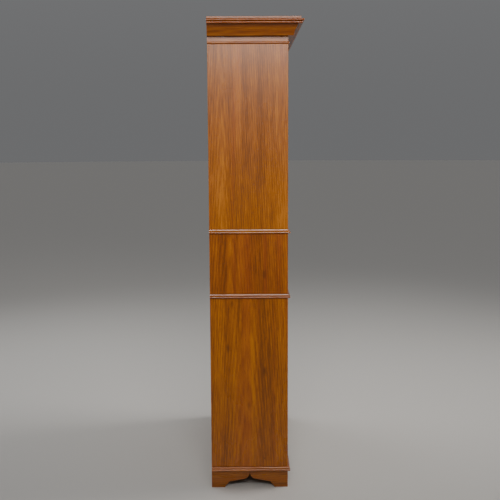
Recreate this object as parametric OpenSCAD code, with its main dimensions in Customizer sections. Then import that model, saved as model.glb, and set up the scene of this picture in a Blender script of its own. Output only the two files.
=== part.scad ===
// Barrister bookcase: three stacked cases on a bracket plinth, under a cornice.
// The lower and upper cases hold two tiers each, closed by glazed doors that lift and slide back.
// The middle case holds two drawers.
// Millimetres, +Z up, front towards -Y, origin under the middle of the whole.

/* [Case] */
// Width of the three cases
case_w = 900; // [840:10:1000]
// Depth of the three cases
case_d = 320; // [310:5:360]
// Height of the lower case
lower_h = 720; // [680:10:780]
// Height of the middle case
middle_h = 248; // [220:4:280]
// Height of the upper case
upper_h = 732; // [680:10:780]
// Thickness of the case sides
side_t = 20; // [18:1:24]
// Thickness of the tops, shelves and bottoms
board_t = 18; // [16:1:20]
// Thickness of the back boards
back_t = 8; // [7:1:10]
// Number of back boards in each case
back_boards = 6; // [4:1:9]

/* [Plinth] */
// Height of the plinth
plinth_h = 72; // [70:1:84]
// Thickness of the plinth boards
plinth_t = 20; // [18:1:24]
// Width of a bracket foot where it stands
foot_w = 56; // [50:1:60]
// Radius of the two lobes beside the pointed centre
lobe_r = 30; // [24:1:32]
// Height of the straight part of the front apron's lower edge
apron_z = 53; // [50:1:56]

/* [Mouldings] */
// Height of the base and waist mouldings
waist_h = 18; // [18:1:22]
// Width of the frames that carry the mouldings, into the case
frame_w = 55; // [50:1:65]
// Height of the frieze with its bead
frieze_h = 30; // [26:1:36]
// Height of the cove
cove_h = 43; // [36:1:50]
// How far the cove stands out at its foot
cove_foot = 20; // [16:1:24]
// How far the cove stands out at its head
cove_head = 39; // [34:1:42]
// How far the cornice stands out at its widest bead
cornice_out = 60; // [56:1:66]

/* [Doors] */
// Thickness of a door
door_t = 20; // [19:1:22]
// Width of a door's stiles
stile_w = 42; // [38:1:50]
// Height of a door's top rail
top_rail_h = 42; // [40:1:50]
// Height of a door's bottom rail
bottom_rail_h = 46; // [42:1:54]
// Thickness of the glass
glass_t = 3; // [2:0.5:4]
// Height of the header rail over a door
header_h = 24; // [24:1:28]
// Thickness of the header rail
header_t = 12; // [10:1:14]

/* [Drawers] */
// Thickness of a drawer's sides and back
drawer_side_t = 12; // [10:1:14]
// Thickness of a drawer's bottom
drawer_bottom_t = 6; // [5:1:8]
// Number of dovetails at each front corner
tails = 4; // [3:1:5]

/* [Hidden] */
$fn = 48;

wood = [0.55, 0.30, 0.11];
moulding_wood = [0.50, 0.27, 0.10];
inner_wood = [0.66, 0.46, 0.26];
brass = [0.80, 0.62, 0.30];
pane = [0.80, 0.88, 0.88, 0.35];

// Clearances: between fixed pieces, at a mitre, and round a shaft
fit = 0.1;
kerf = 0.15;
run = 0.05;

// The case in plan. The cornice stands out at the front only, so the case sits behind the middle.
out_x = case_w / 2;
in_x = out_x - side_t;
back_y = (case_d + cornice_out) / 2;
front_y = back_y - case_d;
housing_d = 6;
rebate_d = 8;
board_back_y = back_y - back_t - fit;

// Heights of the stacked units
z_base = plinth_h;
z_lower = z_base + waist_h;
z_waist1 = z_lower + lower_h;
z_middle = z_waist1 + waist_h;
z_waist2 = z_middle + middle_h;
z_upper = z_waist2 + waist_h;
z_frieze = z_upper + upper_h;
z_cove = z_frieze + frieze_h;
z_cornice = z_cove + cove_h;
cornice_h = 27;

// Shelves halve each glazed case
lower_shelf_z = z_lower + (lower_h - board_t) / 2;
upper_shelf_z = z_upper + (upper_h - board_t) / 2;

// Floor and ceiling of the four tiers, from the lowest up
tiers = [
    [z_lower + board_t, lower_shelf_z],
    [lower_shelf_z + board_t, z_waist1 - board_t],
    [z_upper + board_t, upper_shelf_z],
    [upper_shelf_z + board_t, z_frieze - board_t]
];

// A door hangs behind its header and overlaps it, which is what stops it when it closes
door_side_gap = 1.5;
door_floor_gap = 2;
header_gap = 1;
header_overlap = 6;
pivot_drop = 18;
pivot_r = 2.5;
pivot_len = 12;
door_front_y = front_y + header_t + header_gap;
door_back_y = door_front_y + door_t;
pivot_y = door_front_y + door_t / 2;
door_x = in_x - door_side_gap;
sight_x = door_x - stile_w;

// Glass sits in a rebate behind a front lip, with beads behind it, and the lip has an ovolo round the glass
glass_rebate = 8;
lip_t = 8;
ovolo_r = 4;
ovolo_step = 1;
tenon_l = 20;
tenon_t = 7;
tenon_shoulder = 7;
bead_gap = 0.2;

// Pivot shoes run in grooves in the case sides, and a bar behind the door joins each pair
groove_h = 8.4;
groove_d = 6;
shoe_gap = 0.3;
shoe_front = 10;
shoe_back = 33;
bar_back = 26;
bar_r = 3;
bar_socket = 3;

// Drawer openings either side of the divider
divider_t = 20;
drawer_gap = 2;
drawer_run_gap = 0.5;
drawer_floor = z_middle + board_t;
drawer_ceiling = z_waist2 - board_t;
drawer_side_top = drawer_ceiling - 8;
drawer_end_y = board_back_y - 8;
drawer_centre_x = (divider_t / 2 + in_x) / 2;
drawer_half_w = (in_x - divider_t / 2) / 2 - drawer_gap;
drawer_groove = 5;
tail_l = 14;

// Brass knobs
knob_l = 20;
knob_r = 8.5;
knob_shank_r = 2;
knob_shank_l = 12;
knob_inset = 210;
knob_up = 23;

// Dowels stand in the side rails of the moulded frames
dowel_r = 4;
dowel_depth = 10;
dowel_x = in_x - 18;
dowel_ys = [front_y + 28, back_y - 40];
dowel_spans = [
    [z_base - dowel_depth, z_lower + dowel_depth],
    [z_waist1 - dowel_depth, z_middle + dowel_depth],
    [z_waist2 - dowel_depth, z_upper + dowel_depth],
    [z_frieze - dowel_depth, z_frieze + dowel_depth]
];

function tier_floor(i) = tiers[i][0];
function tier_ceiling(i) = tiers[i][1];
function pivot_z(i) = tier_ceiling(i) - header_h - pivot_drop + header_overlap;
function door_top(i) = pivot_z(i) + pivot_drop;
function door_bottom(i) = tier_floor(i) + door_floor_gap;
function sight_top(i) = door_top(i) - top_rail_h;
function sight_bottom(i) = door_bottom(i) + bottom_rail_h;

// A block between two opposite corners
module block(low, high) {
    translate(low) cube(high - low);
}

// The same piece on the right and on the left
module both_sides() {
    for (s = [0, 1]) mirror([s, 0, 0]) children();
}

// ---- Dowels that line the units up ----

module dowel_set(i, r, end_gap) {
    low = dowel_spans[i][0] + end_gap;
    high = dowel_spans[i][1] - end_gap;
    for (x = [-dowel_x, dowel_x], y = dowel_ys) translate([x, y, low]) cylinder(r = r, h = high - low);
}

module dowel_holes(i) {
    dowel_set(i, dowel_r + run, 0);
}

module locating_dowels() {
    color(inner_wood) for (i = [0 : len(dowel_spans) - 1]) dowel_set(i, dowel_r, 0.5);
}

// ---- Moulded frames: a profile run round the front and both sides, mitred at the front corners ----

// Plan of the front length, between its two mitres
module front_plan(reach, depth) {
    tip = out_x + reach - kerf;
    root = out_x - depth - kerf;
    near = front_y - reach;
    far = front_y + depth;
    polygon([[-tip, near], [tip, near], [root, far], [-root, far]]);
}

// Plan of the right-hand length, from its mitre to the back
module side_plan(reach, depth) {
    polygon([
        [out_x + reach, front_y - reach], [out_x + reach, back_y],
        [out_x - depth, back_y], [out_x - depth, front_y + depth]
    ]);
}

// The child is the profile: X outward from the case's face, Y up
module moulded_run(z, height, reach, depth) {
    margin = 1;
    length = 2 * (out_x + reach + margin);
    intersection() {
        translate([length / 2, front_y, z]) rotate([90, 0, -90]) linear_extrude(length) children();
        translate([0, 0, z - margin])
            linear_extrude(height + 2 * margin) front_plan(reach + margin, depth + margin);
    }
    both_sides() intersection() {
        translate([out_x, back_y, z]) rotate([90, 0, 0]) linear_extrude(case_d + reach + margin) children();
        translate([0, 0, z - margin])
            linear_extrude(height + 2 * margin) side_plan(reach + margin, depth + margin);
    }
}

// Plain rail that closes a frame at the back
module back_rail(z, height, depth, width) {
    rail_x = out_x - depth - kerf;
    block([-rail_x, back_y - width, z], [rail_x, back_y, z + height]);
}

// Two reeds, the lower one standing out further
module base_profile() {
    reed_r = waist_h / 4;
    translate([-frame_w, 0]) square([frame_w + 4, waist_h]);
    translate([3.5, 3 * reed_r]) circle(r = reed_r);
    translate([4, 0]) square([1.5, 2 * reed_r]);
    translate([5.5, reed_r]) circle(r = reed_r);
}

// Flush at the top, hollowed outward to a bead at the foot
module waist_profile() {
    hollow_r = 9;
    bead_r = 3.5;
    translate([-frame_w, 0]) square([frame_w, waist_h]);
    difference() {
        translate([-1, 2 * bead_r + 0.7]) square([hollow_r + 1, hollow_r + 0.3]);
        translate([hollow_r, 2 * bead_r + 1 + hollow_r]) circle(r = hollow_r);
    }
    translate([-1, 0]) square([7.2, 2 * bead_r + 0.8]);
    translate([6.2, bead_r + 0.7]) circle(r = bead_r);
}

// A flat band over a small bead
module frieze_profile() {
    bead_r = 4.5;
    translate([-frame_w, 0]) square([frame_w, frieze_h]);
    translate([0, bead_r + 0.5]) circle(r = bead_r);
}

// A shallow hollow that leans outward, on an arc through its foot and head
module cove_profile() {
    bow = 2.5;
    rise = [cove_head - cove_foot, cove_h];
    chord = norm(rise);
    arc_r = (chord * chord / 4 + bow * bow) / (2 * bow);
    middle = [cove_foot, 0] + rise / 2;
    outward = [rise[1], -rise[0]] / chord;
    difference() {
        polygon([[-35, 0], [cove_foot, 0], [cove_head, cove_h], [-35, cove_h]]);
        translate(middle + outward * (arc_r - bow)) circle(r = arc_r, $fn = 120);
    }
}

// From the bottom: a bead, the widest bead and a square fillet, with fine grooves between
module cornice_profile() {
    bead_r = 4;
    lower_out = cornice_out - 6;
    translate([-35, 0]) square([35 + lower_out - bead_r, 2 * bead_r + 1]);
    translate([lower_out - bead_r, bead_r]) circle(r = bead_r);
    translate([-35, 2 * bead_r + 1]) square([35 + cornice_out - bead_r, 2 * bead_r]);
    translate([cornice_out - bead_r, 3 * bead_r + 1]) circle(r = bead_r);
    translate([-35, 4 * bead_r + 1]) square([35 + cornice_out - 14, 1]);
    translate([-35, 4 * bead_r + 2]) square([35 + cornice_out - 12, cornice_h - 4 * bead_r - 2]);
}

module base_moulding() {
    color(moulding_wood) difference() {
        union() {
            moulded_run(z_base, waist_h, 10, frame_w) base_profile();
            back_rail(z_base, waist_h, frame_w, 40);
        }
        dowel_holes(0);
    }
}

module waist_mouldings() {
    color(moulding_wood) difference() {
        for (z = [z_waist1, z_waist2]) {
            moulded_run(z, waist_h, 10, frame_w) waist_profile();
            back_rail(z, waist_h, frame_w, 40);
        }
        dowel_holes(1);
        dowel_holes(2);
    }
}

module frieze() {
    color(wood) difference() {
        union() {
            moulded_run(z_frieze, frieze_h, 5, frame_w) frieze_profile();
            back_rail(z_frieze, frieze_h, frame_w, 40);
        }
        dowel_holes(3);
    }
}

module cove_moulding() {
    color(moulding_wood) {
        moulded_run(z_cove, cove_h, cove_head, 35) cove_profile();
        // The rail reaches up to the top board
        back_rail(z_cove, cove_h + cornice_h - board_t, 35, 20);
    }
}

module cornice_moulding() {
    color(moulding_wood) moulded_run(z_cornice, cornice_h, cornice_out, 35) cornice_profile();
}

module cornice_top() {
    top_x = out_x - 35 - kerf;
    top_front = front_y + 35 + kerf;
    top_z = z_cornice + cornice_h;
    color(inner_wood) block([-top_x, top_front, top_z - board_t], [top_x, back_y, top_z]);
}

// ---- Plinth ----

// Half of a bracket's lower outline, from the foot towards the middle: an ogee, then a gentle slope
foot_rise = 24;
foot_run = 16;
slope_top = 35;
ogee_steps = 10;
function ogee(x, t) = [x + foot_run * (1 - cos(180 * t)) / 2, foot_rise * t];

// Opening under a side board: X runs along the board from its middle
module side_apron_opening() {
    foot_x = case_d / 2 - foot_w;
    left = [for (i = [0 : ogee_steps]) ogee(-foot_x, i / ogee_steps)];
    right = [for (i = [ogee_steps : -1 : 0]) ogee(-foot_x, i / ogee_steps)];
    polygon(concat(
        [[-foot_x, -1]], left, [[-lobe_r, slope_top], [lobe_r, slope_top]],
        [for (p = right) [-p[0], p[1]]], [[foot_x, -1]]
    ));
    difference() {
        translate([-lobe_r, slope_top - 1]) square([2 * lobe_r, lobe_r]);
        for (s = [-1, 1]) translate([s * lobe_r, slope_top + lobe_r]) circle(r = lobe_r);
    }
}

// Opening under the front board: the same brackets, with a straight run between them
module front_apron_opening() {
    foot_x = out_x - foot_w;
    bracket = case_d / 2 - foot_w - lobe_r;
    lobe_x = foot_x - bracket;
    rise = apron_z - slope_top;
    left = [for (i = [0 : ogee_steps]) ogee(-foot_x, i / ogee_steps)];
    right = [for (i = [ogee_steps : -1 : 0]) ogee(-foot_x, i / ogee_steps)];
    polygon(concat(
        [[-foot_x, -1]], left, [[-lobe_x, slope_top], [lobe_x, slope_top]],
        [for (p = right) [-p[0], p[1]]], [[foot_x, -1]]
    ));
    difference() {
        translate([-lobe_x, slope_top - 1]) square([2 * lobe_x, rise + 1]);
        for (s = [-1, 1]) translate([s * lobe_x, slope_top + rise]) circle(r = rise);
    }
}

module plinth_front() {
    color(wood) difference() {
        linear_extrude(plinth_h) front_plan(0, plinth_t);
        translate([0, front_y + plinth_t + 5, 0]) rotate([90, 0, 0])
            linear_extrude(plinth_t + 10) front_apron_opening();
    }
}

module plinth_sides() {
    middle_y = (front_y + back_y) / 2;
    color(wood) both_sides() difference() {
        linear_extrude(plinth_h) side_plan(0, plinth_t);
        translate([in_x - 10, middle_y, 0]) rotate([90, 0, 90])
            linear_extrude(plinth_t + 30) side_apron_opening();
    }
}

module plinth_back() {
    inside_x = out_x - plinth_t - fit;
    color(inner_wood) block([-inside_x, back_y - plinth_t, 0], [inside_x, back_y, plinth_h]);
}

module plinth_corner_blocks() {
    block_w = 45;
    lift = 6;
    inside_x = out_x - plinth_t - fit;
    front_low = front_y + plinth_t + fit;
    back_high = back_y - plinth_t - fit;
    color(inner_wood) difference() {
        both_sides() {
            block([inside_x - block_w, front_low, lift], [inside_x, front_low + block_w, plinth_h]);
            block([inside_x - block_w, back_high - block_w, lift], [inside_x, back_high, plinth_h]);
        }
        dowel_holes(0);
    }
}

// ---- Cases ----

// Right-hand side with housings for the boards, a rebate for the back and grooves for the pivot shoes
module case_side(low, high, boards, grooves) {
    difference() {
        block([in_x, front_y, low], [out_x, back_y, high]);
        for (z = boards)
            block([in_x - 1, front_y - 1, z - fit], [in_x + housing_d, back_y - back_t, z + board_t + fit]);
        block([in_x - 1, back_y - back_t, low - 1], [in_x + rebate_d, back_y + 1, high + 1]);
        for (z = grooves) translate([0, 0, z]) shoe_groove();
    }
}

// Groove from behind the header to the back edge
module shoe_groove() {
    start = pivot_y - shoe_front - shoe_gap;
    block([in_x - 1, start, -groove_h / 2], [in_x + groove_d, back_y + 1, groove_h / 2]);
}

module case_board(z) {
    end_x = in_x + housing_d - fit;
    block([-end_x, front_y, z], [end_x, board_back_y, z + board_t]);
}

// Header rail over the door of tier i
module header(i) {
    end_x = in_x - fit;
    high = tier_ceiling(i) - fit;
    block([-end_x, front_y, tier_ceiling(i) - header_h], [end_x, front_y + header_t, high]);
}

// Upright back boards with chamfered edges that meet in V joints
module back_board_row(low, high) {
    chamfer = 1.5;
    gap = 0.4;
    pitch = 2 * (in_x + rebate_d - fit) / back_boards;
    half = (pitch - gap) / 2;
    for (i = [0 : back_boards - 1])
        translate([(i + 0.5 - back_boards / 2) * pitch, 0, low]) linear_extrude(high - low)
        polygon([
            [-half + chamfer, back_y], [-half, back_y - chamfer],
            [-half, board_back_y + chamfer + fit], [-half + chamfer, board_back_y + fit],
            [half - chamfer, board_back_y + fit], [half, board_back_y + chamfer + fit],
            [half, back_y - chamfer], [half - chamfer, back_y]
        ]);
}

module lower_sides() {
    boards = [z_lower, lower_shelf_z, z_waist1 - board_t];
    color(wood) both_sides() case_side(z_lower, z_waist1, boards, [pivot_z(0), pivot_z(1)]);
}

module lower_top() {
    color(inner_wood) difference() {
        case_board(z_waist1 - board_t);
        dowel_holes(1);
    }
}

module lower_shelf() {
    color(inner_wood) case_board(lower_shelf_z);
}

module lower_bottom() {
    color(inner_wood) difference() {
        case_board(z_lower);
        dowel_holes(0);
    }
}

module lower_headers() {
    color(wood) for (i = [0, 1]) header(i);
}

module lower_back_boards() {
    color(inner_wood) back_board_row(z_lower, z_waist1);
}

module middle_sides() {
    color(wood) both_sides() case_side(z_middle, z_waist2, [z_middle, z_waist2 - board_t], []);
}

module middle_top() {
    color(inner_wood) difference() {
        case_board(z_waist2 - board_t);
        dowel_holes(2);
    }
}

module middle_bottom() {
    color(inner_wood) difference() {
        case_board(z_middle);
        dowel_holes(1);
    }
}

module middle_divider() {
    half = divider_t / 2;
    color(wood) block([-half, front_y, drawer_floor + fit], [half, board_back_y, drawer_ceiling - fit]);
}

module middle_back_boards() {
    color(inner_wood) back_board_row(z_middle, z_waist2);
}

module upper_sides() {
    boards = [z_upper, upper_shelf_z, z_frieze - board_t];
    color(wood) both_sides() case_side(z_upper, z_frieze, boards, [pivot_z(2), pivot_z(3)]);
}

module upper_top() {
    color(inner_wood) difference() {
        case_board(z_frieze - board_t);
        dowel_holes(3);
    }
}

module upper_shelf() {
    color(inner_wood) case_board(upper_shelf_z);
}

module upper_bottom() {
    color(inner_wood) difference() {
        case_board(z_upper);
        dowel_holes(2);
    }
}

module upper_headers() {
    color(wood) for (i = [2, 3]) header(i);
}

module upper_back_boards() {
    color(inner_wood) back_board_row(z_upper, z_frieze);
}

// ---- Doors ----

// The rectangle behind the front lip that takes the glass and beads
module glass_seat(i) {
    seat_x = sight_x + glass_rebate;
    block(
        [-seat_x, door_front_y + lip_t, sight_bottom(i) - glass_rebate],
        [seat_x, door_back_y + 1, sight_top(i) + glass_rebate]
    );
}

// Section of the ovolo's cutter: X across the opening from its middle, Y into the wood from the face
module ovolo_section(half) {
    deep = ovolo_r + ovolo_step;
    translate([-half, -1]) square([2 * half, 1 + deep]);
    for (s = [0, 1]) mirror([s, 0]) difference() {
        translate([half - 1, -1]) square([ovolo_r + 1, 1 + deep]);
        translate([half + ovolo_r, deep]) circle(r = ovolo_r);
    }
}

// Both sections cut together leave an ovolo round the glass that is mitred at its corners
module ovolo_cutter(i) {
    height = sight_top(i) - sight_bottom(i);
    tall = height + 2 * ovolo_r + 2;
    wide = 2 * (sight_x + ovolo_r + 1);
    translate([0, door_front_y, (sight_top(i) + sight_bottom(i)) / 2]) intersection() {
        translate([0, 0, -tall / 2]) linear_extrude(tall) ovolo_section(sight_x);
        translate([-wide / 2, 0, 0]) rotate([0, 90, 0]) linear_extrude(wide) ovolo_section(height / 2);
    }
}

// Right-hand tenon of a rail, or with a gap its mortise
module tenon(low, high, gap) {
    block(
        [sight_x - 1, pivot_y - tenon_t / 2 - gap, low - gap],
        [sight_x + tenon_l + 2 * gap, pivot_y + tenon_t / 2 + gap, high + gap]
    );
}

module rail_tenons(i, gap) {
    tenon(sight_top(i) + glass_rebate + 3, door_top(i) - tenon_shoulder, gap);
    tenon(door_bottom(i) + tenon_shoulder, sight_bottom(i) - glass_rebate - 3, gap);
}

module door_stiles(i) {
    color(wood) both_sides() difference() {
        block([sight_x, door_front_y, door_bottom(i)], [door_x, door_back_y, door_top(i)]);
        glass_seat(i);
        ovolo_cutter(i);
        rail_tenons(i, fit);
        translate([door_x + 1, pivot_y, pivot_z(i)]) rotate([0, -90, 0])
            cylinder(r = pivot_r + run, h = pivot_len + 2);
    }
}

module door_rails(i) {
    rail_x = sight_x - fit;
    color(wood) difference() {
        union() {
            block([-rail_x, door_front_y, sight_top(i)], [rail_x, door_back_y, door_top(i)]);
            block([-rail_x, door_front_y, door_bottom(i)], [rail_x, door_back_y, sight_bottom(i)]);
            both_sides() rail_tenons(i, 0);
        }
        glass_seat(i);
        ovolo_cutter(i);
        for (x = knob_xs()) knob_hole([x, door_front_y, door_bottom(i) + knob_up]);
    }
}

module door_glass(i) {
    glass_x = sight_x + glass_rebate - 1;
    low = door_front_y + lip_t + fit;
    foot = sight_bottom(i) - glass_rebate + 1;
    head = sight_top(i) + glass_rebate - 1;
    color(pane) block([-glass_x, low, foot], [glass_x, low + glass_t, head]);
}

// Four beads behind the glass: the upright ones run full height, the level ones between them
module door_beads(i) {
    outer_x = sight_x + glass_rebate - bead_gap;
    inner_x = sight_x + bead_gap;
    near_y = door_front_y + lip_t + glass_t + 2 * fit;
    far_y = door_back_y - fit;
    low = sight_bottom(i) - glass_rebate + bead_gap;
    high = sight_top(i) + glass_rebate - bead_gap;
    bead_w = glass_rebate - 2 * bead_gap;
    color(wood) {
        both_sides() block([inner_x, near_y, low], [outer_x, far_y, high]);
        block([-inner_x + kerf, near_y, low], [inner_x - kerf, far_y, low + bead_w]);
        block([-inner_x + kerf, near_y, high - bead_w], [inner_x - kerf, far_y, high]);
    }
}

module door_knobs(i) {
    color(brass) for (x = knob_xs()) translate([x, door_front_y, door_bottom(i) + knob_up]) knob();
}

// Shoes with pins in the side grooves, and the equaliser bar between them
module door_carriage(i) {
    shoe_low_x = in_x + 0.2;
    shoe_high_x = in_x + groove_d - shoe_gap;
    half_h = groove_h / 2 - shoe_gap;
    socket_x = shoe_low_x + bar_socket;
    color(brass) translate([0, pivot_y, pivot_z(i)]) {
        both_sides() difference() {
            union() {
                block([shoe_low_x, -shoe_front, -half_h], [shoe_high_x, shoe_back, half_h]);
                translate([door_x - pivot_len, 0, 0]) rotate([0, 90, 0])
                    cylinder(r = pivot_r, h = shoe_low_x + 1 - door_x + pivot_len);
            }
            translate([shoe_low_x - 1, bar_back, 0]) rotate([0, 90, 0])
                cylinder(r = bar_r + run, h = bar_socket + 1);
        }
        translate([-socket_x + fit, bar_back, 0]) rotate([0, 90, 0])
            cylinder(r = bar_r, h = 2 * (socket_x - fit));
    }
}

// ---- Knobs ----

function knob_xs() = [-knob_inset, knob_inset];

// A turned knob that stands out towards the front, with its shank behind
module knob() {
    rose_r = 9;
    rose_t = 2;
    neck_r = 4;
    rotate([90, 0, 0]) {
        rotate_extrude() intersection() {
            union() {
                square([rose_r, rose_t]);
                square([neck_r, knob_l - 4]);
                translate([knob_r - 5.5, knob_l - 5.5]) circle(r = 5.5);
                translate([0, knob_l - 11]) square([knob_r - 5.5, 11]);
            }
            square([rose_r, knob_l]);
        }
        translate([0, 0, -knob_shank_l]) cylinder(r = knob_shank_r, h = knob_shank_l + 1);
    }
}

// Hole for a knob's shank, from the point where the knob stands
module knob_hole(at) {
    translate(at + [0, -1, 0]) rotate([-90, 0, 0]) cylinder(r = knob_shank_r + run, h = knob_shank_l + 1.5);
}

// ---- Drawers ----

// Outline of one dovetail at height z, with its wide end to the front; a gap makes its socket
module tail_outline(z, gap) {
    half = 9;
    flare = 2.5;
    polygon([
        [door_back_y + 1, z - half + flare - gap], [door_back_y - tail_l - gap, z - half - gap],
        [door_back_y - tail_l - gap, z + half + gap], [door_back_y + 1, z + half - flare + gap]
    ]);
}

function tail_z(k) = drawer_floor + (drawer_side_top - drawer_floor) * (k + 0.5) / tails;

// Dovetails of both sides of the drawer centred at x = 0
module drawer_tails(gap) {
    side_x = drawer_half_w - drawer_side_t;
    both_sides() for (k = [0 : tails - 1]) translate([side_x - gap, 0, 0]) rotate([90, 0, 90])
        linear_extrude(drawer_side_t - 0.5 + gap) tail_outline(tail_z(k), gap);
}

// Groove for the bottom, all round the inside of the sides and front
module drawer_bottom_panel(gap) {
    edge_x = drawer_half_w - drawer_side_t + drawer_groove;
    low = drawer_floor + 10;
    block(
        [-edge_x + fit - gap, door_back_y - drawer_groove + fit - gap, low - gap],
        [edge_x - fit + gap, drawer_end_y + gap, low + drawer_bottom_t + gap]
    );
}

module drawer_front(x) {
    low = drawer_floor + drawer_gap;
    high = drawer_ceiling - drawer_gap;
    color(wood) translate([x, 0, 0]) difference() {
        block([-drawer_half_w, door_front_y, low], [drawer_half_w, door_back_y, high]);
        drawer_tails(fit);
        drawer_bottom_panel(fit);
        for (k = drawer_knob_xs()) knob_hole([k, door_front_y, (low + high) / 2]);
    }
}

module drawer_box(x) {
    low = drawer_floor + drawer_run_gap;
    inner = drawer_half_w - drawer_side_t;
    bottom_top = drawer_floor + 10 + drawer_bottom_t + 2 * fit;
    back_low_y = drawer_end_y - 20;
    color(inner_wood) translate([x, 0, 0]) {
        difference() {
            union() {
                both_sides()
                    block([inner, door_back_y + fit, low], [drawer_half_w - 0.5, drawer_end_y, drawer_side_top]);
                drawer_tails(0);
            }
            drawer_bottom_panel(fit);
            back_high_y = back_low_y + drawer_side_t;
            block([-inner - 4, back_low_y, low - 1], [inner + 4, back_high_y, drawer_side_top + 1]);
        }
        block(
            [-inner - 4 + fit, back_low_y + fit, bottom_top],
            [inner + 4 - fit, back_low_y + drawer_side_t - fit, drawer_side_top - 6]
        );
    }
}

module drawer_bottom(x) {
    color(inner_wood) translate([x, 0, 0]) drawer_bottom_panel(0);
}

module drawer_knobs(x) {
    middle_z = (drawer_floor + drawer_ceiling) / 2;
    color(brass) for (k = drawer_knob_xs()) translate([x + k, door_front_y, middle_z]) knob();
}

function drawer_knob_xs() = [-drawer_half_w / 2, drawer_half_w / 2];

plinth_front();
plinth_sides();
plinth_back();
plinth_corner_blocks();
base_moulding();
lower_sides();
lower_top();
lower_shelf();
lower_bottom();
lower_headers();
lower_back_boards();
waist_mouldings();
middle_sides();
middle_top();
middle_bottom();
middle_divider();
middle_back_boards();
upper_sides();
upper_top();
upper_shelf();
upper_bottom();
upper_headers();
upper_back_boards();
frieze();
cove_moulding();
cornice_moulding();
cornice_top();
locating_dowels();
door_stiles(0);  // door1_stiles
door_rails(0);  // door1_rails
door_glass(0);  // door1_glass
door_beads(0);  // door1_beads
door_knobs(0);  // door1_knobs
door_carriage(0);  // door1_carriage
door_stiles(1);  // door2_stiles
door_rails(1);  // door2_rails
door_glass(1);  // door2_glass
door_beads(1);  // door2_beads
door_knobs(1);  // door2_knobs
door_carriage(1);  // door2_carriage
door_stiles(2);  // door3_stiles
door_rails(2);  // door3_rails
door_glass(2);  // door3_glass
door_beads(2);  // door3_beads
door_knobs(2);  // door3_knobs
door_carriage(2);  // door3_carriage
door_stiles(3);  // door4_stiles
door_rails(3);  // door4_rails
door_glass(3);  // door4_glass
door_beads(3);  // door4_beads
door_knobs(3);  // door4_knobs
door_carriage(3);  // door4_carriage
drawer_front(-drawer_centre_x);  // left_drawer_front
drawer_box(-drawer_centre_x);  // left_drawer_box
drawer_bottom(-drawer_centre_x);  // left_drawer_bottom
drawer_knobs(-drawer_centre_x);  // left_drawer_knobs
drawer_front(drawer_centre_x);  // right_drawer_front
drawer_box(drawer_centre_x);  // right_drawer_box
drawer_bottom(drawer_centre_x);  // right_drawer_bottom
drawer_knobs(drawer_centre_x);  // right_drawer_knobs
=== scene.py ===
import math

import bmesh
import bpy
from mathutils import Matrix, Vector


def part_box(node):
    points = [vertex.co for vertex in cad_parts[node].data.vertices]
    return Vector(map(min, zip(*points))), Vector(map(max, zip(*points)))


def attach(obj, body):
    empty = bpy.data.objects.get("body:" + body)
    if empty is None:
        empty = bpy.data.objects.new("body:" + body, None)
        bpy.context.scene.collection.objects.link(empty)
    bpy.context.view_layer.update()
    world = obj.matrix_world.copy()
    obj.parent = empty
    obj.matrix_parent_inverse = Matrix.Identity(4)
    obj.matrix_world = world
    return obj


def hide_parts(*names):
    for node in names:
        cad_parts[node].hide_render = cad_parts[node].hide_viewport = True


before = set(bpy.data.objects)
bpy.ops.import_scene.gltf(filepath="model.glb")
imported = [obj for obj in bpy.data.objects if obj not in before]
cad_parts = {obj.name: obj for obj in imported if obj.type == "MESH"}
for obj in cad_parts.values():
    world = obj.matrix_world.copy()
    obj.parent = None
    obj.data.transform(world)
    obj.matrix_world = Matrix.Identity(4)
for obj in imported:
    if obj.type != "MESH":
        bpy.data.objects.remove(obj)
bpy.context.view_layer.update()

bl_info = {
    "name": "Barrister bookcase",
    "version": (1, 0, 0),
    "blender": (4, 5, 0),
    "location": "View3D > Sidebar > Bookcase",
    "description": "Finishes a stacked bookcase: boards, mouldings, glazed doors, drawers, brass and polish",
    "category": "Object",
}

MM = 0.001
# Faces that meet at less than this are parts of one curve
CURVE_ANGLE = math.radians(40)
# Numbers this far apart, wrapped to lie between 0 and 1, never bunch together
GOLDEN_STEP = 0.381966

# The case in plan, taken from the sides of the lower case, and the top of the whole
CASE_LOW, CASE_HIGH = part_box("lower_sides")
OUT_X, FRONT_Y, BACK_Y = CASE_HIGH.x, CASE_LOW.y, CASE_HIGH.y
TOP_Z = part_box("cornice_moulding")[1].z

CASES = ("lower", "middle", "upper")
DOORS = ("door1", "door2", "door3", "door4")
DRAWERS = ("left_drawer", "right_drawer")


# ---- What a user would change ----


def length_property(name, description, default):
    return bpy.props.FloatProperty(
        name=name, description=description, default=default, min=0.0, unit="LENGTH")


def angle_property(name, description, degrees):
    return bpy.props.FloatProperty(
        name=name, description=description, default=math.radians(degrees), subtype="ANGLE")


def colour_property(name, description, default):
    return bpy.props.FloatVectorProperty(
        name=name, description=description, default=default, subtype="COLOR")


class BookcaseSizes(bpy.types.PropertyGroup):
    """Sizes of the small details that the boards and the metalwork carry"""

    arris: length_property("Arris", "How far the edges of the boards are eased", 1.1 * MM)
    fine_arris: length_property("Fine arris", "How far thin pieces are eased", 0.5 * MM)
    mitre_gap: length_property("Mitre gap", "Open joint at the moulding's mitres", 0.15 * MM)
    bead_width: length_property("Cock bead width", "Width of the bead round a drawer front", 3.2 * MM)
    bead_proud: length_property(
        "Cock bead height", "How far the bead stands out from the drawer", 1.8 * MM)
    screw_radius: length_property("Screw head radius", "Radius of the screws behind", 4.0 * MM)
    screws_across: bpy.props.IntProperty(
        name="Screws across", description="Screws in each row across the back", default=12, min=2)
    back_boards: bpy.props.IntProperty(
        name="Back boards", description="Upright boards in the back of each case", default=6, min=1)
    brad_step: length_property("Brad spacing", "Distance between the brads of the glazing beads", 90 * MM)


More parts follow.
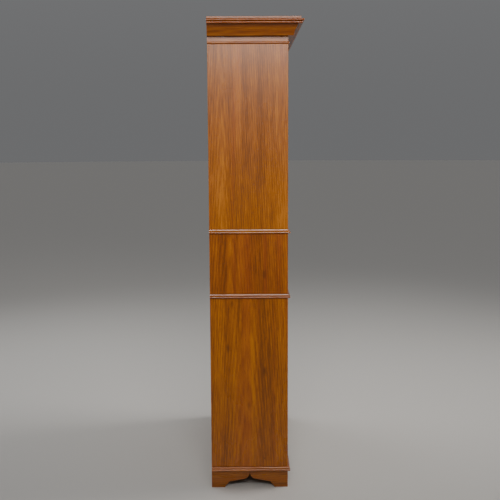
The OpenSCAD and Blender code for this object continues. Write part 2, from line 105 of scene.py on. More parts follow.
class BookcaseColours(bpy.types.PropertyGroup):
    """Colours of the polish, the inner wood, the brass and the glass"""

    dark: colour_property("Dark grain", "Late wood under the polish", (0.190, 0.050, 0.0030))
    ground: colour_property("Ground", "Body of the polished wood", (0.315, 0.085, 0.0045))
    light: colour_property("Light grain", "Early wood under the polish", (0.450, 0.140, 0.0085))
    red: colour_property("Red stain", "Redder streaks in the boards", (0.320, 0.062, 0.0080))
    pore: colour_property("Pores", "Polish gathered in the pores", (0.070, 0.018, 0.002))
    # Paler colour on eased edges and moulding crests: rubbed polish and a painted highlight
    worn: colour_property("Worn edge", "Wood where the polish is rubbed thin", (0.66, 0.35, 0.14))
    inner_dark: colour_property("Inner dark", "Dark grain of the boards inside", (0.155, 0.066, 0.018))
    inner_light: colour_property("Inner light", "Light grain of the boards inside", (0.350, 0.180, 0.062))
    brass: colour_property("Brass", "Clean brass", (0.74, 0.50, 0.19))
    tarnish: colour_property("Tarnish", "Brass gone brown", (0.25, 0.14, 0.05))
    glass: colour_property("Glass", "Tint of the panes", (0.90, 0.96, 0.94))


class BookcaseStage(bpy.types.PropertyGroup):
    """Camera, floor and lights"""

    camera_place: bpy.props.FloatVectorProperty(
        name="Camera", description="Where the camera stands", default=(-3.770, 0.049, 1.445),
        subtype="XYZ", unit="LENGTH")
    heading: angle_property("Heading", "Turn of the view from straight at the left end", -0.42)
    tilt: angle_property("Tilt", "How far the camera looks down", 7.486)
    roll: angle_property("Roll", "Lean of the camera", -0.28)
    lens: bpy.props.FloatProperty(
        name="Lens", description="Focal length in millimetres on a 36 mm frame", default=59.35)
    floor: colour_property("Floor", "Colour of the floor", (0.56, 0.54, 0.51))
    sky: colour_property("Surroundings", "Colour of the light from all round", (0.97, 0.98, 1.0))
    sky_strength: bpy.props.FloatProperty(
        name="Surroundings strength", description="Brightness all round, level with the floor", default=0.155)
    sky_top: bpy.props.FloatProperty(
        name="Overhead strength", description="Brightness straight overhead", default=0.36)


def sizes():
    return bpy.context.scene.bookcase_sizes


def colours():
    return bpy.context.scene.bookcase_colours


# ---- Node trees written as expressions ----


class Value:
    """A socket that takes part in arithmetic."""

    def __init__(self, recipe, socket):
        self.recipe, self.socket = recipe, socket

    def _math(self, operation, first, second):
        return self.recipe.add("ShaderNodeMath", {0: first, 1: second}, operation=operation)

    def __add__(self, other):
        return self._math("ADD", self, other)

    __radd__ = __add__

    def __sub__(self, other):
        return self._math("SUBTRACT", self, other)

    def __rsub__(self, other):
        return self._math("SUBTRACT", other, self)

    def __mul__(self, other):
        return self._math("MULTIPLY", self, other)

    __rmul__ = __mul__

    def root(self):
        return self._math("SQRT", self, 0.0)

    def sine(self):
        return self._math("SINE", self, 0.0)

    def between(self, low, high):
        """0 at low and 1 at high, with a smooth rise, or a fall where low is above high."""
        flipped = low > high
        first, last = (high, low) if flipped else (low, high)
        risen = self.recipe.add(
            "ShaderNodeMapRange", {"Value": self, "From Min": first, "From Max": last},
            interpolation_type="SMOOTHSTEP")
        return 1 - risen if flipped else risen


class Recipe:
    """Adds nodes to one tree."""

    def __init__(self, tree):
        self.tree = tree

    def add(self, kind, sockets=None, out=0, **settings):
        node = self.tree.nodes.new(kind)
        for name, value in settings.items():
            if name == "stops":
                self._set_stops(node.color_ramp, value)
            else:
                setattr(node, name, value)
        for name, value in (sockets or {}).items():
            if isinstance(value, Value):
                self.tree.links.new(value.socket, node.inputs[name])
            else:
                node.inputs[name].default_value = value
        return Value(self, node.outputs[out]) if node.outputs else node

    @staticmethod
    def _set_stops(ramp, stops):
        while len(ramp.elements) < len(stops):
            ramp.elements.new(1.0)
        for element, (place, colour) in zip(ramp.elements, stops):
            element.position = place
            element.color = (*colour, 1.0)

    def mix(self, share, first, second):
        """A colour between first and second."""
        pair = [c if isinstance(c, Value) else (*c, 1.0) for c in (first, second)]
        return self.add("ShaderNodeMix", {0: share, 6: pair[0], 7: pair[1]}, out=2, data_type="RGBA")


class Finish(Recipe):
    """One material."""

    def __init__(self, name):
        self.material = bpy.data.materials.new(name)
        self.material.use_nodes = True
        super().__init__(self.material.node_tree)
        self.tree.nodes.clear()

    def surface(self, sockets, shader="ShaderNodeBsdfPrincipled"):
        shaded = self.add(shader, sockets)
        self.add("ShaderNodeOutputMaterial", {"Surface": shaded})
        return self.material


# ---- Wood ----


class Grain:
    """Patterns drawn out along one axis of a board.

    Every board has a number, which shifts its patterns, and a heart: a point on the middle line of its
    tree."""

    ORDER = {"X": ("Y", "Z", "X"), "Y": ("Z", "X", "Y"), "Z": ("Y", "X", "Z")}

    def __init__(self, finish, axis):
        self.finish = finish
        self.axis = axis
        self.place = finish.add("ShaderNodeTexCoord", out="Object")
        self.board = finish.add("ShaderNodeAttribute", out="Fac", attribute_name="board")
        shift = finish.add(
            "ShaderNodeCombineXYZ", {"X": self.board * 4.7, "Y": self.board * 8.3, "Z": self.board * 6.1})
        moved = finish.add("ShaderNodeVectorMath", {0: self.place, 1: shift}, operation="ADD")
        self.across, self.through, self.along = self.ordered(moved)
        wander = self.noise(across=1.6, along=0.55, detail=1) - 0.5
        ripple = self.noise(across=9.0, along=2.2, detail=1) - 0.5
        self.wobble = wander * 0.06 + ripple * 0.008
        self.across = self.across + self.wobble

    def ordered(self, vector):
        """The parts of a vector: across the board, through it and along it."""
        return [
            self.finish.add("ShaderNodeSeparateXYZ", {"Vector": vector}, out=name)
            for name in self.ORDER[self.axis]]

    def rings(self, ring):
        """Growth rings that far apart, from 0 to 1, which show as arches on the face of a board."""
        heart = self.finish.add("ShaderNodeAttribute", out="Vector", attribute_name="heart")
        off = self.finish.add("ShaderNodeVectorMath", {0: self.place, 1: heart}, operation="SUBTRACT")
        across, through, along = self.ordered(off)
        radius = (across * across + through * through).root() + along * 0.055 + self.wobble * 0.7
        return (radius * (2 * math.pi / ring)).sine() * 0.5 + 0.5

    def stretched(self, across, along):
        return self.finish.add(
            "ShaderNodeCombineXYZ",
            {"X": self.across * across, "Y": self.through * across, "Z": self.along * along})

    def noise(self, across, along, detail=2.0, roughness=0.5):
        """Noise with that many features in a metre across and along the grain."""
        return self.finish.add(
            "ShaderNodeTexNoise",
            {"Vector": self.stretched(across, along), "Scale": 1.0, "Detail": detail, "Roughness": roughness})

    def knots(self, across, along, radius, share):
        """1 inside small knots in that share of the cells.

        A metre holds that many cells across and along, and the radius is a share of a cell."""
        cell = {"Vector": self.stretched(across, along), "Scale": 1.0, "Randomness": 1.0}
        near = self.finish.add("ShaderNodeTexVoronoi", cell, out="Distance")
        chosen = self.finish.add("ShaderNodeTexVoronoi", cell, out="Color")
        pick = self.finish.add("ShaderNodeSeparateColor", {"Color": chosen}, out="Red")
        return near.between(radius, radius * 0.3) * pick.between(1 - share, 1.02 - share)


def polished_wood(axis, kind="polished_wood", coat=0.22, stain=1.0):
    """Warm brown wood under an old satin polish. A stain below 1 darkens it as painted shade."""
    name = f"{kind}_{axis.lower()}"
    if name in bpy.data.materials:
        return bpy.data.materials[name]
    tint = colours()
    finish = Finish(name)
    grain = Grain(finish, axis)
    bands = grain.noise(across=30, along=0.8, detail=4, roughness=0.6)
    rings = grain.rings(9 * MM)
    streaks = grain.noise(across=180, along=13, detail=3, roughness=0.6)
    fibres = grain.noise(across=560, along=34, detail=3, roughness=0.6)
    clouds = grain.noise(across=5, along=2)
    pores = grain.noise(across=1100, along=70, detail=1).between(0.60, 0.72)
    flecks = grain.knots(across=30, along=13, radius=0.11, share=0.10)
    smudges = grain.knots(across=13, along=6, radius=0.17, share=0.45)
    tone = bands * 0.38 + rings * 0.06 + streaks * 0.32 + clouds * 0.14 + fibres * 0.18
    body = finish.add(
        "ShaderNodeValToRGB", {"Fac": tone},
        stops=[(0.445, tint.dark), (0.54, tint.ground), (0.64, tint.light)])
    reddish = grain.noise(across=24, along=0.7).between(0.50, 0.68)
    body = finish.mix(reddish * 0.32, body, tint.red)
    # The board's number varies the tone at random; a stain below 1 is painted shade
    body = finish.add("ShaderNodeHueSaturation", {
        "Hue": 0.4975 + grain.board * 0.005, "Saturation": 1.0,
        "Value": (0.93 + grain.board * 0.14) * stain, "Color": body})
    body = finish.mix(pores * 0.38, body, tint.pore)
    body = finish.mix(flecks * 0.55, body, tint.pore)
    body = finish.mix(smudges * streaks * 0.95, body, tint.pore)
    # Eased edges and moulding crests turn paler: partly rubbed polish, partly a painted highlight
    worn = finish.add("ShaderNodeAttribute", out="Fac", attribute_name="worn")
    rubbed = worn * grain.noise(across=28, along=9).between(0.34, 0.62)
    body = finish.mix(rubbed * 0.60, body, tint.worn)
    sheen = grain.noise(across=11, along=4)
    height = fibres * 0.06 - pores * 0.14 + streaks * 0.06 + clouds * 0.2
    return finish.surface({
        "Base Color": body,
        "Roughness": 0.22 + sheen * 0.12 + pores * 0.18 + rubbed * 0.10,
        "Specular IOR Level": 0.31,
        "Normal": finish.add("ShaderNodeBump", {"Height": height, "Strength": 0.5, "Distance": 0.6 * MM}),
        "Coat Weight": coat,
        "Coat Roughness": 0.16,
    })


def waxed_wood(axis):
    """The same wood under the heavier wax that mouldings hold."""
    return polished_wood(axis, "waxed_wood", coat=0.85)


def darkened_wood(axis):
    """The same wood darkened all over as painted shade, for the plinth and the cove."""
    return polished_wood(axis, "darkened_wood", stain=0.70)


def inner_wood(axis):
    """Paler wood with a thin matt polish, for the boards inside and behind."""
    name = f"inner_wood_{axis.lower()}"
    if name in bpy.data.materials:
        return bpy.data.materials[name]
    tint = colours()
    finish = Finish(name)
    grain = Grain(finish, axis)
    bands = grain.noise(across=26, along=0.8, detail=4, roughness=0.6)
    rings = grain.rings(7 * MM)
    streaks = grain.noise(across=190, along=7)
    fibres = grain.noise(across=700, along=30)
    stains = grain.noise(across=5, along=3, detail=3, roughness=0.6)
    knots = grain.knots(across=7.0, along=2.4, radius=0.10, share=0.30)
    tone = bands * 0.44 + rings * 0.085 + streaks * 0.28 + fibres * 0.20
    body = finish.add(
        "ShaderNodeValToRGB", {"Fac": tone}, stops=[(0.36, tint.inner_dark), (0.66, tint.inner_light)])
    body = finish.add("ShaderNodeHueSaturation", {
        "Hue": 0.495 + grain.board * 0.01, "Saturation": 1.0,
        "Value": 0.84 + grain.board * 0.3, "Color": body})
    body = finish.mix(stains.between(0.52, 0.75) * 0.35, body, tint.inner_dark)
    body = finish.mix(knots * 0.8, body, tint.pore)
    # Eased edges turn paler: wear and a painted highlight
    worn = finish.add("ShaderNodeAttribute", out="Fac", attribute_name="worn")
    body = finish.mix(worn * streaks * 0.5, body, tint.inner_light)
    height = fibres * 0.12 + streaks * 0.08
    return finish.surface({
        "Base Color": body,
        "Roughness": 0.50 + streaks * 0.16,
        "Specular IOR Level": 0.35,
        "Normal": finish.add("ShaderNodeBump", {"Height": height, "Strength": 0.6, "Distance": 0.8 * MM}),
    })


# ---- Brass and glass ----


def aged_brass():
    """Brass that hands keep bright and that browns in its hollows."""
    name = "aged_brass"
    if name in bpy.data.materials:
        return bpy.data.materials[name]
    tint = colours()
    finish = Finish(name)
    place = finish.add("ShaderNodeTexCoord", out="Object")
    blotch = finish.add(
        "ShaderNodeTexNoise", {"Vector": place, "Scale": 160.0, "Detail": 4.0, "Roughness": 0.6})
    scratch = finish.add("ShaderNodeTexNoise", {"Vector": place, "Scale": 1400.0, "Detail": 2.0})
    brown = blotch.between(0.48, 0.72)
    return finish.surface({
        "Base Color": finish.mix(brown * 0.75, tint.brass, tint.tarnish),
        "Metallic": 1.0,
        "Roughness": 0.22 + brown * 0.22 + scratch * 0.08,
        "Normal": finish.add("ShaderNodeBump", {"Height": scratch, "Strength": 0.25, "Distance": 0.1 * MM}),
    })


def old_glass():
    """Clear drawn glass with a faint ripple, which lets lamps through."""
    name = "old_glass"
    if name in bpy.data.materials:
        return bpy.data.materials[name]
    tint = colours()
    finish = Finish(name)
    place = finish.add("ShaderNodeTexCoord", out="Object")
    drawn = finish.add("ShaderNodeMapping", {"Vector": place, "Scale": (5.0, 5.0, 12.0)})
    ripple = finish.add("ShaderNodeTexNoise", {"Vector": drawn, "Scale": 1.0, "Detail": 2.0})
    bump = finish.add("ShaderNodeBump", {"Height": ripple, "Strength": 0.18, "Distance": 1.0 * MM})
    pane = finish.add("ShaderNodeBsdfPrincipled", {
        "Base Color": (*tint.glass, 1.0), "Roughness": 0.02, "IOR": 1.5, "Transmission Weight": 1.0,
        "Normal": bump})
    clear = finish.add("ShaderNodeBsdfTransparent", {"Color": (*tint.glass, 1.0)})
    shadow = finish.add("ShaderNodeLightPath", out="Is Shadow Ray")
    return finish.surface({0: shadow, 1: pane, 2: clear}, shader="ShaderNodeMixShader")


# ---- Meshes ----

_boards = {"count": 0}


def next_board():
    """A new number from 0 to 1 for each board, always in the same order."""
    _boards["count"] += 1
    return (_boards["count"] * GOLDEN_STEP) % 1.0


def islands(mesh):
    """The mesh's separate solids, each a list of vertices."""
    unseen = set(mesh.verts)
    found = []
    while unseen:
        waiting = [unseen.pop()]
        island = []
        while waiting:
            vert = waiting.pop()
            island.append(vert)
            for edge in vert.link_edges:
                other = edge.other_vert(vert)
                if other in unseen:
                    unseen.remove(other)
                    waiting.append(other)
        found.append(island)
    return sorted(found, key=lambda island: min(v.index for v in island))


def span(verts):
    """Lowest and highest corner round these vertices."""
    low = Vector([min(v.co[i] for v in verts) for i in range(3)])
    high = Vector([max(v.co[i] for v in verts) for i in range(3)])
    return low, high


def ease(mesh, width, chosen=None, planes=2, shortest=8 * MM, steps=2):
    """Rounds the outer edges of each solid and marks them to turn paler: wear and a painted highlight.

    An edge counts when it lies in that many sides of its solid's box."""
    near = 0.02 * MM
    picked = []
    for island in islands(mesh):
        low, high = span(island)
        for edge in {edge for vert in island for edge in vert.link_edges}:
            if len(edge.link_faces) != 2 or not edge.is_convex or edge.calc_length() < shortest:
                continue
            if edge.calc_face_angle() < CURVE_ANGLE:
                continue
            sides = sum(
                all(abs(v.co[i] - wall[i]) < near for v in edge.verts)
                for i in range(3) for wall in (low, high))
            middle = (edge.verts[0].co + edge.verts[1].co) / 2
            if sides >= planes and (chosen is None or chosen(middle)):
                picked.append(edge)
    if not picked:
        return
    made = bmesh.ops.bevel(
        mesh, geom=picked, offset=width, offset_type="OFFSET", segments=steps, profile=0.5, affect="EDGES",
        clamp_overlap=True, loop_slide=True)
    rounded = set(made["faces"])
    worn = mesh.verts.layers.float["worn"]
    for vert in made["verts"]:
        if vert.is_valid and rounded.issuperset(vert.link_faces):
            vert[worn] = 1.0


def new_layers(mesh):
    """The numbers that the wood's finish reads from each board."""
    return (
        mesh.verts.layers.float.new("board"), mesh.verts.layers.float.new("worn"),
        mesh.verts.layers.float_vector.new("heart"))


def heart_offset(number, axis):
    """From a board's middle to the heart of its tree, square to the grain."""
    nearest, furthest = 55 * MM, 125 * MM
    turn = 2 * math.pi * number
    far = nearest + (furthest - nearest) * ((number * 7) % 1.0)
    offset = Vector((0.0, 0.0, 0.0))
    offset[(axis + 1) % 3] = far * math.sin(turn)
    offset[(axis + 2) % 3] = far * math.cos(turn)
    return offset


def mark(mesh, grain=None, kinds=None):
    """Gives each solid its board number and its heart, and sets the faces' materials.

    The material list holds the three grain directions in order for each kind of wood, and kinds(face) is the
    number of the kind."""
    board = mesh.verts.layers.float["board"]
    heart = mesh.verts.layers.float_vector["heart"]
    mesh.verts.index_update()
    for island in islands(mesh):
        number = next_board()
        low, high = span(island)
        size = high - low
        axis = "XYZ".index(grain) if grain else max(range(3), key=lambda i: size[i])
        middle = (low + high) / 2 + heart_offset(number, axis)
        for vert in island:
            vert[board] = number
            vert[heart] = middle
        for face in {face for vert in island for face in vert.link_faces}:
            face.material_index = axis + 3 * (kinds(face) if kinds else 0)


def mesh_data(mesh, name):
    """Turns a mesh in the making into plain mesh data."""
    data = bpy.data.meshes.new(name)
    mesh.to_mesh(data)
    mesh.free()
    return data


def placed(name, data):
    """A new object in the scene that shows this data."""
    made = bpy.data.objects.new(name, data)
    bpy.context.scene.collection.objects.link(made)
    return made


def piece_from(mesh, name, materials, body, slot, *nodes):
    """Makes the finished object from a mesh, which rides on the body and stands for the nodes."""
    for face in mesh.faces:
        face.smooth = True
    data = mesh_data(mesh, name)
    for material in materials:
        data.materials.append(material)
    data.set_sharp_from_angle(angle=math.radians(50))
    return finished(placed(name, data), body, slot, *nodes)


def finished(made, body, slot, *nodes):
    """Evens a piece's shading, puts it on its body and hides the nodes it stands for. Its slot is unused."""
    flat = made.modifiers.new("Even shading", "WEIGHTED_NORMAL")
    flat.keep_sharp = True
    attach(made, body)
    if nodes:
        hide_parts(*nodes)
    return made


def merged_copy(node):
    """A node's solids as one clean mesh, with its flat faces whole."""
    mesh = bmesh.new()
    mesh.from_mesh(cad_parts[node].data)
    new_layers(mesh)
    bmesh.ops.remove_doubles(mesh, verts=mesh.verts, dist=1e-6)
    bmesh.ops.dissolve_limit(
        mesh, angle_limit=math.radians(0.4), verts=mesh.verts, edges=mesh.edges,
        use_dissolve_boundaries=False)
    mesh.verts.index_update()
    return mesh


def three_ways(*kinds):
    """The materials of these kinds of wood in the order that mark() counts them."""
    return [kind(axis) for kind in kinds for axis in "XYZ"]


def fit_board(node, body, slot, grain=None, kinds=None, woods=None, arris=None, **easing):
    """A CAD board with eased edges, grain along it, and the right wood on each face.

    All of it is the slot's own wood where no woods are given."""
    mesh = merged_copy(node)
    ease(mesh, arris or sizes().arris, **easing)
    mark(mesh, grain, kinds)
    woods = woods or (inner_wood if slot == "inner_wood" else polished_wood,)
    return piece_from(mesh, f"finished_{node}", three_ways(*woods), body, slot, node)


def add_box(mesh, low, high):
    """A box between two corners, given back as its vertices."""
    made = bmesh.ops.create_cube(mesh, size=1.0)["verts"]
    for vert in made:
        vert.co = Vector([low[i] if vert.co[i] < 0 else high[i] for i in range(3)])
    return made


def add_prism(mesh, near, far):
    """A closed solid between two outlines of as many points, given back as its faces."""
    first = [mesh.verts.new(p) for p in near]
    last = [mesh.verts.new(p) for p in far]
    around = [(i, (i + 1) % len(first)) for i in range(len(first))]
    sides = [mesh.faces.new((first[i], first[j], last[j], last[i])) for i, j in around]
    ends = [mesh.faces.new(list(reversed(first))), mesh.faces.new(last)]
    bmesh.ops.recalc_face_normals(mesh, faces=sides + ends)
    return sides + ends


def arc(middle, radius, start, end, steps=12):
    """Points round an arc, angles in degrees."""
    angles = [math.radians(start + (end - start) * i / steps) for i in range(steps + 1)]
    return [(middle[0] + radius * math.cos(a), middle[1] + radius * math.sin(a)) for a in angles]


def in_mm(*points):
    """Points given in millimetres."""
    return [(x * MM, y * MM) for x, y in points]


def lathe(mesh, outline, at, steps=36):
    """Turns an outline of (radius, height) points about a line that runs from at towards the front."""
    turns = [2 * math.pi * i / steps for i in range(steps)]
    rings = []
    for radius, height in outline:
        if radius < 1e-7:
            rings.append([mesh.verts.new(at + Vector((0, -height, 0)))])
            continue
        ring = [(radius * math.cos(turn), -height, radius * math.sin(turn)) for turn in turns]
        rings.append([mesh.verts.new(at + Vector(point)) for point in ring])
    faces = []
    for low, high in zip(rings, rings[1:]):
        for i in range(steps):
            j = (i + 1) % steps
            if len(low) == 1:
                faces.append(mesh.faces.new((low[0], high[j], high[i])))
            elif len(high) == 1:
                faces.append(mesh.faces.new((low[i], low[j], high[0])))
            else:
                faces.append(mesh.faces.new((low[i], low[j], high[j], high[i])))
    bmesh.ops.recalc_face_normals(mesh, faces=faces)


# ---- Rows of like pieces ----


def row_tree():
    """A tree that sets copies of its own mesh in rows and columns, and numbers them."""
    name = "Rows of pieces"
    if name in bpy.data.node_groups:
        return bpy.data.node_groups[name]
    tree = bpy.data.node_groups.new(name, "GeometryNodeTree")
    wanted = (
        ("Geometry", "NodeSocketGeometry"), ("Columns", "NodeSocketInt"),
        ("Column step", "NodeSocketVector"), ("Rows", "NodeSocketInt"), ("Row step", "NodeSocketVector"),
        ("Start", "NodeSocketVector"), ("First number", "NodeSocketFloat"),
        ("Material", "NodeSocketMaterial"))
    for socket, kind in wanted:
        tree.interface.new_socket(socket, in_out="INPUT", socket_type=kind)
    tree.interface.new_socket("Geometry", in_out="OUTPUT", socket_type="NodeSocketGeometry")
    recipe = Recipe(tree)
    given = tree.nodes.new("NodeGroupInput")
    have = {socket: Value(recipe, given.outputs[socket]) for socket, _ in wanted}
    across = recipe.add("GeometryNodeMeshLine", {
        "Count": have["Columns"], "Start Location": have["Start"], "Offset": have["Column step"]})
    upward = recipe.add("GeometryNodeMeshLine", {"Count": have["Rows"], "Offset": have["Row step"]})
    grid = recipe.add("GeometryNodeInstanceOnPoints", {"Points": across, "Instance": upward})
    places = recipe.add("GeometryNodeRealizeInstances", {"Geometry": grid})
    copies = recipe.add("GeometryNodeInstanceOnPoints", {"Points": places, "Instance": have["Geometry"]})
    number = recipe.add("GeometryNodeInputIndex") * GOLDEN_STEP + have["First number"]
    wrapped = recipe.add("ShaderNodeMath", {0: number}, operation="FRACT")
    numbered = recipe.add(
        "GeometryNodeStoreNamedAttribute", {"Geometry": copies, "Name": "board", "Value": wrapped},
        data_type="FLOAT", domain="INSTANCE")
    least, most = (-0.11, -0.14, -0.5), (0.11, -0.05, 0.5)
    offset = recipe.add("FunctionNodeRandomValue", {0: least, 1: most, "Seed": 3}, data_type="FLOAT_VECTOR")
    middle = recipe.add(
        "ShaderNodeVectorMath", {0: recipe.add("GeometryNodeInputPosition"), 1: offset}, operation="ADD")
    grown = recipe.add(
        "GeometryNodeStoreNamedAttribute", {"Geometry": numbered, "Name": "heart", "Value": middle},
        data_type="FLOAT_VECTOR", domain="INSTANCE")
    whole = recipe.add("GeometryNodeRealizeInstances", {"Geometry": grown})
    painted = recipe.add("GeometryNodeSetMaterial", {"Geometry": whole, "Material": have["Material"]})
    recipe.add("NodeGroupOutput", {"Geometry": painted})
    return tree


def set_in_rows(mesh, name, material, start, columns, column_step, rows=1, row_step=(0, 0, 0)):
    """One plain mesh of the given piece repeated in rows and columns."""
    data = mesh_data(mesh, name)
    pattern = placed(name + "_pattern", data)
    tree = row_tree()
    keys = {item.name: item.identifier for item in tree.interface.items_tree if item.in_out == "INPUT"}
    modifier = pattern.modifiers.new("Rows", "NODES")
    modifier.node_group = tree
    values = {
        "Columns": columns, "Column step": tuple(column_step), "Rows": rows, "Row step": tuple(row_step),
        "Start": tuple(start), "First number": next_board(), "Material": material}
    for socket, value in values.items():
        modifier[keys[socket]] = value
    depsgraph = bpy.context.evaluated_depsgraph_get()
    whole = bpy.data.meshes.new_from_object(pattern.evaluated_get(depsgraph), depsgraph=depsgraph)
    bpy.data.objects.remove(pattern)
    bpy.data.meshes.remove(data)
    whole.name = name
    whole.polygons.foreach_set("use_smooth", [True] * len(whole.polygons))
    whole.set_sharp_from_angle(angle=CURVE_ANGLE)
    return placed(name, whole)


# ---- Cases ----


def bare_back(face):
    """Kind 1, the wood left without polish, on a face turned to the wall behind."""
    return 1 if face.normal.y > 0.9 and face.calc_center_median().y > BACK_Y - 3 * MM else 0


def bare_top(face):
    """Kind 1 on the faces at the very top as well, which are above sight."""
    on_top = face.normal.z > 0.99 and face.calc_center_median().z > TOP_Z - 1 * MM
    return 1 if on_top else bare_back(face)


def front_lipping(face):
    """Kind 0 on a board's front edge, kind 1 elsewhere."""
    return 0 if face.normal.y < -0.3 and face.calc_center_median().y < FRONT_Y + 3 * MM else 1


class BOOKCASE_OT_cases(bpy.types.Operator):
    """Ease and polish the sides, shelves, tops, bottoms, headers and divider of the three cases"""

    bl_idname = "bookcase.cases"
    bl_label = "Cases"

    def execute(self, context):
        both, fine = (polished_wood, inner_wood), sizes().fine_arris
        for case in CASES:
            has_doors = case != "middle"
            fit_board(f"{case}_sides", "case", "polished_wood", grain="Z", kinds=bare_back, woods=both)
            for board in ("top", "shelf", "bottom") if has_doors else ("top", "bottom"):
                fit_board(
                    f"{case}_{board}", "case", "inner_wood", grain="X", kinds=front_lipping, woods=both,
                    arris=fine)
            if has_doors:
                fit_board(f"{case}_headers", "case", "polished_wood", grain="X", arris=fine)
        fit_board(
            "middle_divider", "case", "polished_wood", grain="Z", kinds=front_lipping, woods=both,
            arris=fine)
        return {"FINISHED"}


class BOOKCASE_OT_back_boards(bpy.types.Operator):
    """Set the V-jointed boards and their screws in the back of each case"""

    bl_idname = "bookcase.back_boards"
    bl_label = "Back boards"

    def execute(self, context):
        count = sizes().back_boards
        for case in CASES:
            low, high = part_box(f"{case}_back_boards")
            self.boards(case, low, high, count)
            self.screws(case, low, high)
        return {"FINISHED"}

    @staticmethod
    def boards(case, low, high, count):
        gap, chamfer = 0.4 * MM, 1.5 * MM
        step = (high.x - low.x + gap) / count
        half, deep = (step - gap) / 2, high.y - low.y
        outline = [
            (-half + chamfer, deep), (-half, deep - chamfer), (-half, chamfer), (-half + chamfer, 0),
            (half - chamfer, 0), (half, chamfer), (half, deep - chamfer), (half - chamfer, deep)]
        mesh = bmesh.new()
        rise = high.z - low.z
        add_prism(mesh, [(x, y, 0) for x, y in outline], [(x, y, rise) for x, y in outline])
        start = (low.x + half, low.y, low.z)
        made = set_in_rows(
            mesh, f"finished_{case}_back_boards", inner_wood("Z"), start, count, (step, 0, 0))
        finished(made, "case", "inner_wood", f"{case}_back_boards")

    @staticmethod
    def screws(case, low, high):
        """Rows of slotted screws into the top, the shelf and the bottom."""
        radius = sizes().screw_radius
        slit, proud, deep, thin = 0.45 * MM, 0.25 * MM, 0.9 * MM, 0.2 * MM
        mesh = bmesh.new()
        for side in (1, -1):
            start = math.degrees(math.asin(slit / radius))
            rim = [(x, side * z) for x, z in arc((0, 0), radius, start, 180 - start, steps=10)]
            add_prism(mesh, [(x, proud, z) for x, z in rim], [(x, -deep, z) for x, z in rim])
        disc = arc((0, 0), radius * 0.98, 0, 330, steps=11)
        add_prism(mesh, [(x, -deep, z) for x, z in disc], [(x, -deep - thin, z) for x, z in disc])
        bmesh.ops.recalc_face_normals(mesh, faces=mesh.faces)
        top_low, top_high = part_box(f"{case}_top")
        thick = top_high.z - top_low.z
        rows = 2 if case == "middle" else 3
        across = sizes().screws_across
        column = (high.x - low.x) / across
        row = (high.z - low.z - thick) / (rows - 1)
        made = set_in_rows(
            mesh, f"{case}_back_screws", aged_brass(), (low.x + column / 2, high.y, low.z + thick / 2),
            across, (column, 0, 0), rows, (0, 0, row))
        finished(made, "case", "brass")


class BOOKCASE_OT_plinth(bpy.types.Operator):
    """Ease and polish the plinth's bracket boards, and finish its back, corner blocks and the dowels"""

    bl_idname = "bookcase.plinth"
    bl_label = "Plinth"

    def execute(self, context):
        sawn = {"arris": 1.0 * MM, "planes": 1, "shortest": 0.6 * MM, "chosen": self.not_mitre}
        # The plinth's boards take the wood darkened as painted shade
        fit_board("plinth_front", "case", "polished_wood", grain="X", woods=(darkened_wood,), **sawn)
        fit_board(
            "plinth_sides", "case", "polished_wood", grain="Y", kinds=bare_back,
            woods=(darkened_wood, inner_wood), **sawn)
        fit_board("plinth_back", "case", "inner_wood")
        fit_board("plinth_corner_blocks", "case", "inner_wood", grain="Z")
        fit_board("locating_dowels", "case", "inner_wood", grain="Z")
        return {"FINISHED"}

    @staticmethod
    def not_mitre(place):
        """Every edge but the upright ones at the front corners, which are mitred and glued."""
        board = 25 * MM
        corner = abs(abs(place.x) - OUT_X) < board and place.y < FRONT_Y + board
        return not corner or place.z < 2 * MM


# ---- Mouldings ----


# A profile is a list of points (outward from the case, upward from the moulding's foot), from its top down


def waist_profile(height):
    """Flush at the top, hollowed outward to a small bead at the foot."""
    bead, hollow = 3.5 * MM, 9 * MM
    return (
        [(0, height - 0.2 * MM), (0, height - 1 * MM)]
        + arc((hollow, 2 * bead + 1 * MM + hollow), hollow, 186, 262, steps=14)
        + in_mm((8.85, 7.95), (9, 7.8), (8.8, 7.6), (7.6, 7.35))
        + arc((6.2 * MM, bead + 0.7 * MM), bead, 62, -90, steps=16)
        + in_mm((5.2, 0.25), (4.6, 0)))


def base_profile(height):
    """Two reeds, the lower one standing out further."""
    reed = height / 4
    return (
        [(0, height)] + arc((3.5 * MM, 3 * reed), reed, 90, -62, steps=14)
        + arc((5.5 * MM, reed), reed, 66, -90, steps=14) + in_mm((4, 0)))


def frieze_profile(height):
    """A flat band over a small bead."""
    bead = 4.5 * MM
    return (
        [(-0.6 * MM, height), (-0.15 * MM, height - 0.15 * MM), (0, height - 0.6 * MM)]
        + [(0, 2 * bead + 0.9 * MM)]
        + arc((0, bead + 0.5 * MM), bead, 86, -84, steps=14) + in_mm((-1, 0.2), (-1.6, 0)))


def cove_profile(height):
    """A shallow hollow that leans outward."""
    foot, head, bow, steps = 20 * MM, 39 * MM, 2.5 * MM, 16
    lean = Vector((head - foot, height))
    inward = Vector((-lean.y, lean.x)).normalized()
    hollow = [
        Vector((foot, 0)) + lean * t + inward * (4 * bow * t * (1 - t))
        for t in (1 - i / steps for i in range(1, steps))]
    return (
        [(head - 1 * MM, height), (head - 0.3 * MM, height - 0.25 * MM)] + [tuple(p) for p in hollow]
        + [(foot + 0.3 * MM, 0.5 * MM), (foot - 0.2 * MM, 0.1 * MM), (foot - 1 * MM, 0)])


